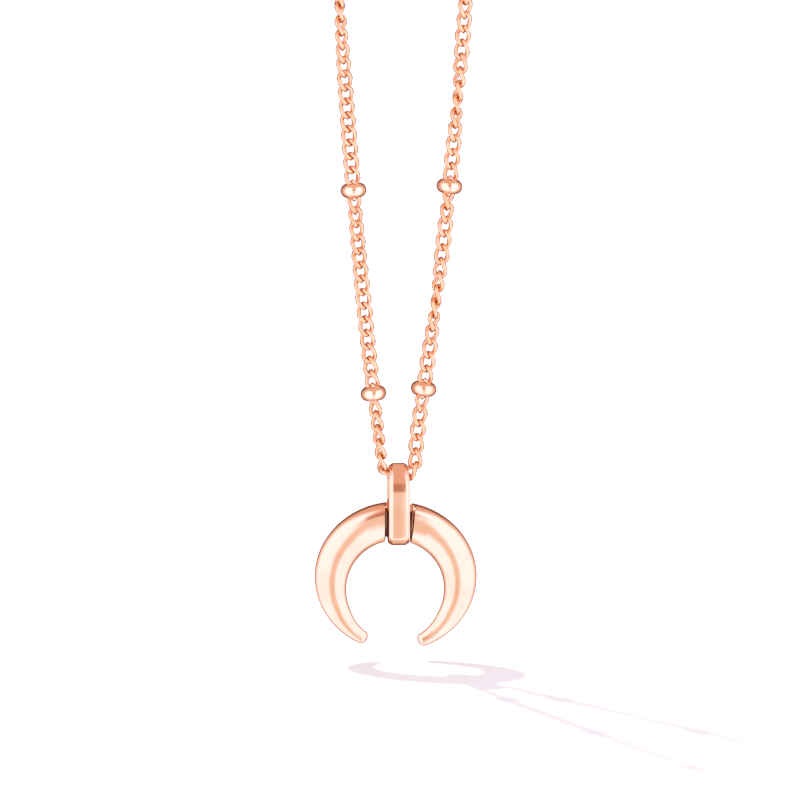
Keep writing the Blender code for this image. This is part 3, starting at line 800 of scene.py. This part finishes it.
# ---- bail --------------------------------------------------------------------------------
def bail_bend(middle, rise, start):
    """Stations round one bend of the strap: a point on the outer face, the way out, the lift."""
    radius = 0.5 * BAIL_DEPTH
    stations = []
    for turn in np.linspace(start, start + math.pi, BAIL_STATIONS):
        point = Vector((0.0, -radius * math.cos(turn), middle + rise * math.sin(turn)))
        out = Vector((0.0, -rise * math.cos(turn), radius * math.sin(turn))).normalized()
        stations.append((point, out, math.sin(turn)))
    return stations


def bail_piece(finish):
    """A closed strap: flat front and back, bent over the chain and under the neck."""
    stations = bail_bend(DATUM + BAIL_TOP - BAIL_CROWN_RISE, BAIL_CROWN_RISE, 0.0)
    stations += bail_bend(DATUM + BAIL_BOTTOM + BAIL_FOOT_RISE, BAIL_FOOT_RISE, math.pi)
    rings = []
    for point, out, lift in stations:
        crown = smooth_step(1.6 * max(lift, 0.0) - 0.6)
        half = BAIL_HALF_WIDTH + (BAIL_CROWN_HALF_WIDTH - BAIL_HALF_WIDTH) * crown
        outline = softened([
            (-half, BAIL_STRAP),
            (-half, BAIL_BEVEL_DEPTH),
            (BAIL_BEVEL_WIDTH - half, 0.0),
            (half - BAIL_BEVEL_WIDTH, 0.0),
            (half, BAIL_BEVEL_DEPTH),
            (half, BAIL_STRAP),
        ], BAIL_SOFT_EDGE)
        rings.append([point + Vector((x, 0.0, 0.0)) - out * depth for x, depth in outline])
    shape = bridge(rings, closed=True)
    finished("bail_strap", *shape, finish, "bail", "pendant_gold", ["bail"], 24.0)


# ---- crescent ----------------------------------------------------------------------------
def horn_edges(turn):
    """Outer and inner edge points of the crescent, at an angle from its top."""
    outer = Vector((HORN_OUTER_HALF_WIDTH * math.sin(turn), 0.0,
                    HORN_OUTER_CENTRE + HORN_OUTER_HALF_HEIGHT * math.cos(turn)))
    radial = math.atan2(outer.x, outer.z - HORN_INNER_CENTRE)
    lean = math.asin(SHOULDER_BOTTOM / HORN_INNER_RADIUS) - HORN_INNER_SHOULDER
    fade = 1.0 - smooth_step((turn - HORN_SHOULDER) / HORN_LEAN_FADE)
    flare = smooth_step((turn - HORN_FLARE_START) / HORN_FLARE_SPAN)
    radius = HORN_INNER_RADIUS + HORN_INNER_FLARE * flare
    inner_turn = radial + lean * fade
    inner = Vector((radius * math.sin(inner_turn), 0.0,
                    HORN_INNER_CENTRE + radius * math.cos(inner_turn)))
    return outer, inner


def horn_section(turn, share=1.0, inset=0.0):
    """One ring across a horn; share shrinks it to the tip, inset draws its edge in."""
    outer, inner = horn_edges(turn)
    taper = smooth_step(turn / HORN_END)
    depth = (HORN_HALF_DEPTH + (HORN_TIP_HALF_DEPTH - HORN_HALF_DEPTH) * taper - inset) * share
    crest = float(np.interp(turn, *zip(*HORN_CREST)))
    half = 0.5 * (outer - inner)
    half = half * (1.0 - inset / half.length) * share
    ring = []
    for point in oval(Vector(), Vector((1, 0, 0)), Vector((0, 1, 0)), HORN_SIDES):
        across = point.x + crest * point.y * point.y
        ring.append(0.5 * (outer + inner) + half * across + DEPTH * (depth * point.y))
    return ring


def neck_section(out):
    """One oval ring of the plain neck, at a distance from the middle."""
    middle = Vector((out, 0.0, 0.5 * (NECK_ABOVE - NECK_BELOW)))
    upright = Vector((0.0, 0.0, 0.5 * (NECK_ABOVE + NECK_BELOW)))
    return oval(middle, upright, DEPTH * NECK_HALF_DEPTH, HORN_SIDES)


def above_notch(height):
    """0 beside the notch for the bail and 1 above it."""
    return smooth_step((height - NOTCH_TOP + 0.35) / 0.5)


def flared_neck(out, share):
    """A neck ring whose top runs into the horn's own section by a share."""
    shoulder = horn_section(HORN_SHOULDER)
    ring = []
    for plain, full in zip(neck_section(out), shoulder):
        ring.append(plain.lerp(Vector((out, full.y, full.z)), above_notch(plain.z) * share))
    return ring


def crescent_piece(finish):
    """Two horns joined by a round neck that turns in the bail."""
    face = 0.5 * (SHOULDER_TOP + SHOULDER_BOTTOM)
    half = [neck_section(out) for out in PLAIN_NECK]
    half += [flared_neck(out, smooth_step((out - FLARE_START) / FLARE_SPAN)) for out in FLARED_NECK]
    half.append(flared_neck(face, 1.0))
    first = HORN_SHOULDER + SHOULDER_BEVEL / HORN_OUTER_HALF_HEIGHT
    bevelled = zip(horn_section(HORN_SHOULDER, inset=SHOULDER_BEVEL), horn_section(first))
    half.append([drawn_in.lerp(full, above_notch(full.z)) for drawn_in, full in bevelled])
    tip_start = HORN_END - HORN_TIP_SPAN
    for turn in np.linspace(first, tip_start, HORN_STATIONS):
        half.append(horn_section(turn))
    for lean in np.linspace(0.0, HORN_TIP_CLOSE, HORN_TIP_STATIONS)[1:]:
        half.append(horn_section(tip_start + HORN_TIP_SPAN * math.sin(lean), math.cos(lean)))
    mirror = Matrix.Scale(-1.0, 4, (1, 0, 0))
    other = [[mirror @ point for point in ring] for ring in reversed(half[1:])]
    place = Matrix.Translation((0.0, 0.0, DATUM + NECK_HEIGHT)) @ Matrix.Rotation(CRESCENT_TILT, 4, "Y")
    rings = [[place @ point for point in ring] for ring in other + half]
    shape = bridge(rings)
    horns = finished("crescent_horns", *shape, finish, "crescent", "pendant_gold", ["crescent"], 40.0)
    # painted shade: marks the neck points inside the bail, which get the near-black tone and duller
    # roughness
    painted_shade_weights = []
    for point in (point for ring in other + half for point in ring):
        recessed = abs(point.x) < face - 0.02 and point.z < NOTCH_TOP + 0.1
        painted_shade_weights.append(1.0 if recessed else 0.0)
    horns.data.attributes.new("painted_shade_recess", "FLOAT", "POINT").data.foreach_set("value", painted_shade_weights)


# ---- rings and clasp ---------------------------------------------------------------------
def ring_points(centre, first, second, steps):
    """Points round an oval whose half axes are two vectors."""
    turns = [2.0 * math.pi * i / steps for i in range(steps)]
    return [centre + first * math.cos(turn) + second * math.sin(turn) for turn in turns]


def end_link(side):
    """The soldered oval that ends a strand, flat on the peg."""
    strand = SIDES[side]
    ring_wire = strand.length - 2.0 * JUMP_RING_RADIUS
    top = ring_wire + END_LINK_WIRE + JUMP_RING_WIRE + RING_PLAY
    bottom = bead_place(side, BEADS_PER_SIDE) + (TOP_LINKS + 0.5) * LINK_PITCH - END_LINK_WIRE
    middle = strand.at(0.5 * (top + bottom))
    heading = (strand.at(top) - strand.at(bottom)).normalized()
    points = ring_points(middle, heading * 0.5 * (top - bottom), DEPTH * END_LINK_HALF_WIDTH, 36)
    return wire_loop(points, END_LINK_WIRE, 14, [DEPTH.cross(heading)] * len(points))


def jump_ring(side):
    """The ring between a strand and the clasp, standing on edge."""
    strand = SIDES[side]
    far = strand.at(strand.length)
    heading = (far - strand.at(strand.length - JUMP_RING_RADIUS)).normalized()
    outward = heading.cross(DEPTH)
    points = ring_points(far - heading * JUMP_RING_RADIUS, heading * JUMP_RING_RADIUS,
                         outward * JUMP_RING_RADIUS, 56)
    return wire_loop(points, JUMP_RING_WIRE, 16, [DEPTH] * len(points))


def on_clasp(along, across, out=0.0):
    """A point of the clasp: along it, across it towards the front, and out of the peg."""
    return SIDES["left"].at(SIDES["left"].length) + Vector((along, -across, out))


def double_round(left, left_radius, right, right_radius, steps=16):
    """Outline round two circles on the clasp's middle line."""
    lean = math.acos((left_radius - right_radius) / (right - left))
    arcs = []
    for middle, radius, low, high in ((right, right_radius, -lean, lean),
                                      (left, left_radius, lean, 2.0 * math.pi - lean)):
        arcs.append([(middle + radius * math.cos(turn), radius * math.sin(turn))
                     for turn in np.linspace(low, high, steps)])
    outline = []
    for arc, following in (arcs, arcs[::-1]):
        outline += arc
        (u0, v0), (u1, v1) = arc[-1], following[0]
        outline += [(u0 + (u1 - u0) * t, v0 + (v1 - v0) * t)
                    for t in np.linspace(0.0, 1.0, steps)[1:-1]]
    return outline


def clasp_thickness(along):
    """Half thickness: full over the trigger, thin round both eyes."""
    over_trigger = smooth_step((along - 0.85) / 0.5) * smooth_step((5.15 - along) / 0.5)
    return CLASP_THIN + CLASP_THICKENING * over_trigger


def clasp_blank():
    """The clasp's body before its holes are cut: a pillow on a rounded outline."""
    rings = []
    profile = [(0.04, -1.0), (0.5, -1.0), (0.86, -1.0), (0.94, -0.9), (0.985, -0.7), (1.0, -0.35)]
    profile += [(share, -level) for share, level in reversed(profile)]
    outline = double_round(0.0, CLASP_TAIL_RADIUS, CLASP_CLAW_PLACE, CLASP_CLAW_RADIUS)
    for share, level in profile:
        ring = []
        for u, v in outline:
            axis = min(max(u, 0.0), CLASP_CLAW_PLACE)
            along = axis + (u - axis) * share
            ring.append(on_clasp(along, v * share, level * clasp_thickness(along)))
        rings.append(ring)
    return bridge(rings)


def plate(outline, half_height):
    """A slab with an outline in the clasp's plane, as thick above the plane as below it."""
    return bridge([[on_clasp(u, v, w) for u, v in outline] for w in (-half_height, half_height)])


def with_cuts(name, shape, cutters, bevel=0.0):
    """A shape less its cutters, its edges broken by a small bevel, as a plain mesh."""
    blank = hidden(name + "_blank", *shape)
    others = []
    for index, cutter in enumerate(cutters):
        others.append(hidden(f"{name}_cutter_{index}", *cutter))
    for obj in [blank] + others:
        work = bmesh.new()
        work.from_mesh(obj.data)
        bmesh.ops.recalc_face_normals(work, faces=work.faces)
        work.to_mesh(obj.data)
        work.free()
    for other in others:
        modifier = blank.modifiers.new(other.name, "BOOLEAN")
        modifier.operation = "DIFFERENCE"
        modifier.solver = "EXACT"
        modifier.object = other
    if bevel > 0.0:
        modifier = blank.modifiers.new("broken_edges", "BEVEL")
        modifier.width = bevel
        modifier.segments = 2
        modifier.limit_method = "ANGLE"
        modifier.angle_limit = math.radians(50.0)
    graph = bpy.context.evaluated_depsgraph_get()
    made = bpy.data.meshes.new_from_object(blank.evaluated_get(graph), depsgraph=graph)
    for obj in [blank] + others:
        bpy.data.objects.remove(obj, do_unlink=True)
    return made


def box(low, high, bottom, top):
    """An upright rectangle's outline."""
    return [(low, bottom), (high, bottom), (high, top), (low, top)]


def disc(middle, radius, steps=24):
    """A circle's outline."""
    turns = [2.0 * math.pi * i / steps for i in range(steps)]
    return [(middle[0] + radius * math.cos(t), middle[1] + radius * math.sin(t)) for t in turns]


def clasp_pieces(finish, spring_finish):
    """Lobster clasp: body, pin, trigger and the spring that shuts it."""
    cutters = [
        plate(disc(CLASP_PIVOT, CLASP_PIN_RADIUS + 0.03), CUTTER_REACH),
        plate(disc((0.0, 0.0), CLASP_TAIL_HOLE), CUTTER_REACH),
        plate(box(*CLASP_SLOT), CLASP_SLOT_HALF_WIDTH),
        plate(double_round(*CLASP_CLAW_HOLE, 12), CUTTER_REACH),
        plate(box(*CLASP_MOUTH), CUTTER_REACH),
    ]
    mesh = with_cuts("clasp_shell", clasp_blank(), cutters)
    finished_mesh("clasp_shell", mesh, finish, "root", ["clasp_body"], 35.0)

    pin = plate(disc(CLASP_PIVOT, CLASP_PIN_RADIUS), CLASP_PIN_HALF_LENGTH)
    mesh = with_cuts("clasp_rivet", pin, [], PIN_BEVEL)
    finished_mesh("clasp_rivet", mesh, finish, "root", ["clasp_pin"], 35.0)

    out_of_clasp = Vector((0, 0, 1))
    path, widths = rounded_run(LEVER_PATH, LEVER_HALF_WIDTHS)
    thin = [LEVER_HALF_THICKNESS * min(1.0, width / LEVER_HALF_WIDTHS[-1]) for width in widths]
    shape = wire_run([on_clasp(u, v) for u, v in path], widths, thin, 20, out_of_clasp)
    bore = plate(disc(CLASP_PIVOT, CLASP_PIN_RADIUS + 0.05), CUTTER_REACH)
    mesh = with_cuts("clasp_lever", shape, [bore])
    finished_mesh("clasp_lever", mesh, finish, "clasp_trigger", ["clasp_trigger"], 35.0)

    path, widths = rounded_run(BOW_PATH, [BOW_WIRE] * len(BOW_PATH))
    shape = wire_run([on_clasp(u, v) for u, v in path], widths, widths, 12, out_of_clasp)
    finished("clasp_bow", *shape, spring_finish, "root", "spring_steel", ["clasp_spring"])


def rounded_run(path, widths, steps=5):
    """A smooth run through some points, with the bar's width drawn in at both ends."""
    count = len(path)
    points = []
    sizes = []
    for i in range(count - 1):
        before = Vector(path[max(i - 1, 0)])
        start, end = Vector(path[i]), Vector(path[i + 1])
        after = Vector(path[min(i + 2, count - 1)])
        for t in np.linspace(0.0, 1.0, steps, endpoint=(i == count - 2)):
            bend = 2 * start + (end - before) * t
            bend += (2 * before - 5 * start + 4 * end - after) * t ** 2
            bend += (3 * start - before - 3 * end + after) * t ** 3
            points.append(0.5 * bend)
            sizes.append(widths[i] + (widths[i + 1] - widths[i]) * t)
    for end, order in ((0, 1), (-1, -2)):
        away = (points[end] - points[order]).normalized()
        size = sizes[end]
        closing = np.radians([30.0, 60.0, 86.0])
        tip = [points[end] - away * size * (1.0 - math.sin(t)) for t in closing]
        shrunk = [size * math.cos(t) for t in closing]
        if end == 0:
            keep = [i for i, p in enumerate(points) if (points[0] - p).length > size * 0.6]
            points = tip[::-1] + [points[i] for i in keep]
            sizes = shrunk[::-1] + [sizes[i] for i in keep]
        else:
            keep = [i for i, p in enumerate(points) if (points[-1] - p).length > size * 0.6]
            points = [points[i] for i in keep] + tip
            sizes = [sizes[i] for i in keep] + shrunk
    return points, sizes


# ---- assembly ----------------------------------------------------------------------------
def build():
    chain_gold = gold("drawn_rose_gold_wire", (0.95, 0.61, 0.40), (0.90, 0.53, 0.32), 0.08, 0.12)
    bead_gold = gold("turned_rose_gold", (0.98, 0.71, 0.54), (0.95, 0.66, 0.49), 0.09, 0.10)
    pendant_gold = gold("mirror_rose_gold", (0.94, 0.66, 0.50), (0.90, 0.60, 0.44), 0.08, 0.08, 0.5)
    clasp_gold = gold("tumbled_rose_gold", (0.91, 0.61, 0.46), (0.86, 0.55, 0.40), 0.20, 0.20)
    steel = spring_steel()

    chain_pieces(chain_gold)
    bead_pieces(bead_gold)
    bail_piece(pendant_gold)
    crescent_piece(pendant_gold)
    clasp_pieces(clasp_gold, steel)
    for side in SIDES:
        name = f"jump_ring_{side}"
        finished(f"open_{name}", *jump_ring(side), clasp_gold, name, "clasp_gold", [name])
    ends = together([end_link(side) for side in SIDES])
    finished("end_ovals", *ends, chain_gold, "root", "chain_gold", ["end_link_left", "end_link_right"])


build()
light_tent()
floor_sheet(height=-0.2215)
lamp(direction=(0.42, -0.84, -1.0), strength=1.8, spread=1.5)
long_lens(middle=(0.0002, 0.0, (DATUM + 9.9) * TO_METRES), azimuth=-4.0, elevation=7.0,
          distance=0.6, field=0.0994)
bpy.context.scene.view_settings.view_transform = "Standard"
